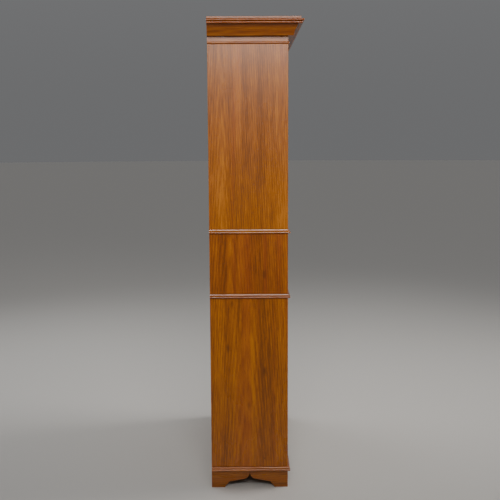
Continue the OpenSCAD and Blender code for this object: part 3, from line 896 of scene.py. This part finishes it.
def cornice_profile(height):
    """From the top: a square fillet, the widest bead and a lower bead, with fine grooves between."""
    bead, out = 4 * MM, 60 * MM
    lower = out - 6 * MM
    fillet = out - 12 * MM
    groove = 2 * MM
    shoulder = 4 * bead + 1 * MM + groove
    return (
        arc((fillet - 1.2 * MM, height - 1.2 * MM), 1.2 * MM, 90, 0, steps=4)
        + arc((fillet - 1.0 * MM, shoulder + 1.0 * MM), 1.0 * MM, 0, -80, steps=4)
        + [(out - 15 * MM, shoulder - 0.2 * MM), (out - 15 * MM, shoulder - groove + 0.2 * MM)]
        + [(out - bead - 1.5 * MM, 4 * bead + 0.95 * MM)]
        + arc((out - bead, 3 * bead + 1 * MM), bead, 88, -88, steps=16)
        + [(lower - bead - 0.5 * MM, 2 * bead + 0.7 * MM), (lower - bead - 0.5 * MM, 2 * bead + 0.3 * MM)]
        + arc((lower - bead, bead), bead, 82, -90, steps=16))


def moulded(node, slot, profile, depth, levels, rail=0.0, rail_top=None, wood=waxed_wood):
    """Mitred front, left and right lengths of a moulding between the heights of each level.

    A plain rail of the inner wood closes the back where its thickness is given. It ends level with the
    moulding, or at rail_top."""
    gap = sizes().mitre_gap
    mesh = bmesh.new()
    board, worn, heart = new_layers(mesh)
    for low_z, high_z in levels:
        height = high_z - low_z
        outline = [(-depth, height), *profile(height), (-depth, 0)]
        lengths = [
            (0, [(-OUT_X - u + gap, FRONT_Y - u, low_z + v) for u, v in outline],
             [(OUT_X + u - gap, FRONT_Y - u, low_z + v) for u, v in outline])]
        for side in (-1, 1):
            lengths.append((
                1, [(side * (OUT_X + u), FRONT_Y - u, low_z + v) for u, v in outline],
                [(side * (OUT_X + u), BACK_Y, low_z + v) for u, v in outline]))
        for axis, near, far in lengths:
            for face in add_prism(mesh, near, far):
                face.material_index = axis + 3 * bare_top(face)
        if rail:
            rail_x = OUT_X - depth - gap
            made = add_box(mesh, (-rail_x, BACK_Y - rail, low_z), (rail_x, BACK_Y, rail_top or high_z))
            for face in {face for vert in made for face in vert.link_faces}:
                face.material_index = 3
    mesh.verts.index_update()
    for island in islands(mesh):
        number = next_board()
        low, high = span(island)
        axis = 0 if high.x - low.x > high.y - low.y else 1
        middle = (low + high) / 2 + heart_offset(number, axis)
        for vert in island:
            # Vertices on the profile's curves turn paler: wear and a painted highlight on the crests
            bent = [edge.calc_face_angle(0.0) for edge in vert.link_edges if edge.is_convex]
            on_curve = 0 < sum(bent) < math.radians(150) and max(bent) < CURVE_ANGLE
            vert[board] = number
            vert[heart] = middle
            vert[worn] = 1.0 if on_curve else 0.0
    return piece_from(mesh, f"finished_{node}", three_ways(wood, inner_wood), "case", slot, node)


class BOOKCASE_OT_mouldings(bpy.types.Operator):
    """Run the base, waist, frieze, cove and cornice mouldings round the front and the ends"""

    bl_idname = "bookcase.mouldings"
    bl_label = "Mouldings"

    def execute(self, context):
        between_cases, rail = 55 * MM, 40 * MM
        over_frieze, thin_rail = 35 * MM, 20 * MM
        base, frieze, cove, cornice, lower, middle, upper = [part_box(node) for node in (
            "base_moulding", "frieze", "cove_moulding", "cornice_moulding",
            "lower_sides", "middle_sides", "upper_sides")]
        waist = [(lower[1].z, middle[0].z), (middle[1].z, upper[0].z)]
        moulded(
            "base_moulding", "moulding_wood", base_profile, between_cases, [(base[0].z, base[1].z)], rail)
        moulded("waist_mouldings", "moulding_wood", waist_profile, between_cases, waist, rail)
        moulded(
            "frieze", "polished_wood", frieze_profile, between_cases, [(frieze[0].z, frieze[1].z)], rail,
            wood=polished_wood)
        # The cove takes the wood darkened as painted shade
        moulded(
            "cove_moulding", "moulding_wood", cove_profile, over_frieze, [(cove[0].z, cornice[0].z)],
            thin_rail, rail_top=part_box("cornice_top")[0].z, wood=darkened_wood)
        moulded(
            "cornice_moulding", "moulding_wood", cornice_profile, over_frieze,
            [(cornice[0].z, cornice[1].z)], wood=polished_wood)
        fit_board("cornice_top", "case", "inner_wood", grain="X", arris=sizes().fine_arris)
        return {"FINISHED"}


# ---- Doors ----

STILE = 42 * MM
# Where the rails of each door meet its stiles
JOINT_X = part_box("door1_stiles")[1].x - STILE


class BOOKCASE_OT_doors(bpy.types.Operator):
    """Finish each door's stiles, rails, glass and glazing beads"""

    bl_idname = "bookcase.doors"
    bl_label = "Doors"

    def execute(self, context):
        fine = sizes().fine_arris
        for door in DOORS:
            fit_board(
                f"{door}_stiles", door, "polished_wood", grain="Z", arris=fine, chosen=self.off_joint)
            fit_board(
                f"{door}_rails", door, "polished_wood", grain="X", arris=fine, chosen=self.off_joint)
            fit_board(f"{door}_beads", door, "polished_wood", arris=fine)
            pane = merged_copy(f"{door}_glass")
            ease(pane, 0.3 * MM, steps=1)
            piece_from(pane, f"finished_{door}_glass", [old_glass()], door, "glass", f"{door}_glass")
            self.brads(door)
        return {"FINISHED"}

    @staticmethod
    def off_joint(place):
        """Every edge but those where the rails meet the stiles."""
        return abs(abs(place.x) - JOINT_X) > 1 * MM

    @staticmethod
    def brads(door):
        """Small brads that hold the beads behind the glass."""
        low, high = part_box(f"{door}_beads")
        in_from_edge = 3.8 * MM
        columns = round((high.x - low.x) / sizes().brad_step)
        step = (high.x - low.x - 2 * in_from_edge) / columns
        head = bmesh.new()
        outline = in_mm((0, -0.3), (0.9, -0.3), (0.9, 0.1), (0.5, 0.25), (0, 0.3))
        lathe(head, outline, Vector((0, 0, 0)), steps=10)
        bmesh.ops.transform(head, matrix=Matrix.Rotation(math.pi, 4, "Z"), verts=head.verts)
        start = (low.x + in_from_edge + step / 2, high.y, low.z + in_from_edge)
        made = set_in_rows(
            head, f"{door}_brads", aged_brass(), start, columns, (step, 0, 0),
            2, (0, 0, high.z - low.z - 2 * in_from_edge))
        finished(made, door, "brass")


# ---- Drawers ----


class BOOKCASE_OT_drawers(bpy.types.Operator):
    """Finish the two dovetailed drawers and put a cock bead round their fronts"""

    bl_idname = "bookcase.drawers"
    bl_label = "Drawers"

    def execute(self, context):
        fine = sizes().fine_arris
        for drawer in DRAWERS:
            fit_board(
                f"{drawer}_front", drawer, "polished_wood", grain="X", arris=fine, kinds=self.inner_face,
                woods=(polished_wood, inner_wood))
            fit_board(f"{drawer}_box", drawer, "inner_wood", arris=fine, shortest=20 * MM)
            fit_board(f"{drawer}_bottom", drawer, "inner_wood", arris=fine)
            self.cock_bead(drawer)
        return {"FINISHED"}

    @staticmethod
    def inner_face(face):
        """Kind 1 on a front's face inside the drawer."""
        return 1 if face.normal.y > 0.5 else 0

    @staticmethod
    def cock_bead(drawer):
        """A small half-round strip, mitred round the front's four edges."""
        low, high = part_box(f"{drawer}_front")
        width, proud = sizes().bead_width, sizes().bead_proud
        outset, sunk = 0.6 * MM, 0.2 * MM
        half = width / 2
        rise = half * 0.75
        crown = [(half + half * x, proud - rise + rise * y) for x, y in arc((0, 0), 1.0, 180, 0, steps=10)]
        outline = [(0, -sunk)] + crown + [(width, -sunk)]
        x0, x1, z0, z1 = low.x - outset, high.x + outset, low.z - outset, high.z + outset
        mesh = bmesh.new()
        new_layers(mesh)
        for edge_z, inward in ((z0, 1), (z1, -1)):
            add_prism(
                mesh, [(x0 + u, low.y - v, edge_z + inward * u) for u, v in outline],
                [(x1 - u, low.y - v, edge_z + inward * u) for u, v in outline])
        for edge_x, inward in ((x0, 1), (x1, -1)):
            add_prism(
                mesh, [(edge_x + inward * u, low.y - v, z0 + u) for u, v in outline],
                [(edge_x + inward * u, low.y - v, z1 - u) for u, v in outline])
        mark(mesh)
        piece_from(mesh, f"{drawer}_cock_bead", three_ways(polished_wood), drawer, "polished_wood")


# ---- Brass ----


def knob_outline(long):
    """A turned knob: a stepped rose, a waisted neck and a flattened ball with a small button in its face.

    Points are (radius, distance from the board)."""
    head, flat, middle = 8.5 * MM, 5.4 * MM, long - 5.6 * MM
    button = ((2.6, 0.75), (2.2, 0.15), (1.2, 0), (0, 0))
    return (
        in_mm((0, 0), (9, 0), (9, 0.9), (8.5, 1.5), (7.4, 1.8), (6.8, 2.3))
        + in_mm((5.2, 2.7), (4.1, 3.6), (3.6, 5.2), (3.6, 7.4), (4.1, 8.9))
        + [(head * x, middle + flat * y) for x, y in arc((0, 0), 1.0, -52, 62, steps=14)]
        + [(radius * MM, long - sunk * MM) for radius, sunk in button])


class BOOKCASE_OT_brass(bpy.types.Operator):
    """Turn the knobs and finish the door carriages"""

    bl_idname = "bookcase.brass"
    bl_label = "Brass"

    def execute(self, context):
        for owner in DOORS + DRAWERS:
            node = f"{owner}_knobs"
            low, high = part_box(node)
            face_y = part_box(f"{owner}_rails" if owner in DOORS else f"{owner}_front")[0].y
            knob = bmesh.new()
            lathe(knob, knob_outline(face_y - low.y), Vector((0, 0, 0)))
            radius = (high.z - low.z) / 2
            made = set_in_rows(
                knob, f"finished_{node}", aged_brass(), (low.x + radius, face_y, (low.z + high.z) / 2), 2,
                (high.x - low.x - 2 * radius, 0, 0))
            finished(made, owner, "brass", node)
        for door in DOORS:
            node = f"{door}_carriage"
            shoes = merged_copy(node)
            ease(shoes, 0.6 * MM, shortest=5 * MM)
            piece_from(shoes, f"finished_{node}", [aged_brass()], node, "brass", node)
        return {"FINISHED"}


# ---- Stage ----


class BOOKCASE_OT_stage(bpy.types.Operator):
    """Lay the floor, hang the lights and place the camera"""

    bl_idname = "bookcase.stage"
    bl_label = "Stage"

    def execute(self, context):
        stage = context.scene.bookcase_stage
        warm, cool = (1.0, 0.98, 0.95), (0.96, 0.98, 1.0)
        self.floor(stage)
        self.surroundings(context.scene, stage)
        self.softbox(
            "Key", place=(-3.3, -0.14, 2.80), target=(-0.45, -0.02, 1.50), size=1.6, power=12.8, colour=warm,
            spread=58)
        self.softbox(
            "Front", place=(0.6, -3.4, 3.7), target=(0.0, 0.0, 0.95), size=2.0, power=52, colour=warm,
            spread=120)
        self.softbox(
            "Back", place=(2.2, 3.0, 3.0), target=(0.0, 0.0, 1.0), size=3.2, power=32, colour=cool,
            spread=120)
        self.camera(context.scene, stage)
        return {"FINISHED"}

    @staticmethod
    def floor(stage):
        """A round floor so wide that its edge looks like a level horizon."""
        mesh = bmesh.new()
        bmesh.ops.create_circle(mesh, cap_ends=True, segments=96, radius=60.0)
        data = mesh_data(mesh, "floor")
        finish = Finish("plain_floor")
        data.materials.append(finish.surface({"Base Color": (*stage.floor, 1.0), "Roughness": 0.75}))
        placed("floor", data)

    @staticmethod
    def surroundings(scene, stage):
        """Even light from all round, brighter overhead."""
        world = bpy.data.worlds.new("Soft light")
        world.use_nodes = True
        world.node_tree.nodes.clear()
        recipe = Recipe(world.node_tree)
        direction = recipe.add("ShaderNodeTexCoord", out="Generated")
        height = recipe.add("ShaderNodeSeparateXYZ", {"Vector": direction}, out="Z")
        strength = height.between(0.0, 1.0) * (stage.sky_top - stage.sky_strength) + stage.sky_strength
        shade = recipe.add("ShaderNodeBackground", {"Color": (*stage.sky, 1.0), "Strength": strength})
        recipe.add("ShaderNodeOutputWorld", {"Surface": shade})
        scene.world = world

    @staticmethod
    def softbox(name, place, target, size, power, colour, spread):
        """A square lamp aimed at the target. Size is in metres, power in watts and spread in degrees."""
        light = bpy.data.lights.new(name, "AREA")
        light.shape = "SQUARE"
        light.size = size
        light.energy = power
        light.spread = math.radians(spread)
        light.color = colour
        hung = placed(name, light)
        hung.location = place
        hung.rotation_euler = (Vector(target) - Vector(place)).to_track_quat("-Z", "Y").to_euler()

    @staticmethod
    def camera(scene, stage):
        lens = bpy.data.cameras.new("Camera")
        lens.sensor_width = 36.0
        lens.lens = stage.lens
        lens.clip_end = 200.0
        forward = Vector((
            math.cos(stage.heading) * math.cos(stage.tilt), math.sin(stage.heading) * math.cos(stage.tilt),
            -math.sin(stage.tilt)))
        right = forward.cross(Vector((0, 0, 1))).normalized()
        right = Matrix.Rotation(-stage.roll, 3, forward) @ right
        up = right.cross(forward)
        turned = Matrix((right, up, -forward)).transposed().to_4x4()
        scene.camera = placed("Camera", lens)
        scene.camera.matrix_world = Matrix.Translation(stage.camera_place) @ turned


# ---- Panel and registration ----


class BOOKCASE_PT_panel(bpy.types.Panel):
    """Lists the steps that finish the bookcase"""

    bl_idname = "BOOKCASE_PT_panel"
    bl_label = "Barrister bookcase"
    bl_space_type = "VIEW_3D"
    bl_region_type = "UI"
    bl_category = "Bookcase"

    def draw(self, context):
        for step in STEPS:
            self.layout.operator(step.bl_idname)
        for name, kind in GROUPS.items():
            box = self.layout.box()
            for detail in kind.__annotations__:
                box.prop(getattr(context.scene, name), detail)


GROUPS = {
    "bookcase_sizes": BookcaseSizes,
    "bookcase_colours": BookcaseColours,
    "bookcase_stage": BookcaseStage,
}
STEPS = (
    BOOKCASE_OT_cases,
    BOOKCASE_OT_back_boards,
    BOOKCASE_OT_plinth,
    BOOKCASE_OT_mouldings,
    BOOKCASE_OT_doors,
    BOOKCASE_OT_drawers,
    BOOKCASE_OT_brass,
    BOOKCASE_OT_stage,
)


def register():
    for kind in (*GROUPS.values(), *STEPS, BOOKCASE_PT_panel):
        bpy.utils.register_class(kind)
    for name, kind in GROUPS.items():
        setattr(bpy.types.Scene, name, bpy.props.PointerProperty(type=kind))


def unregister():
    for name in GROUPS:
        delattr(bpy.types.Scene, name)
    for kind in (BOOKCASE_PT_panel, *reversed(STEPS), *GROUPS.values()):
        bpy.utils.unregister_class(kind)


def main():
    register()
    for step in STEPS:
        group, name = step.bl_idname.split(".")
        getattr(getattr(bpy.ops, group), name)()


if __name__ == "__main__":
    main()
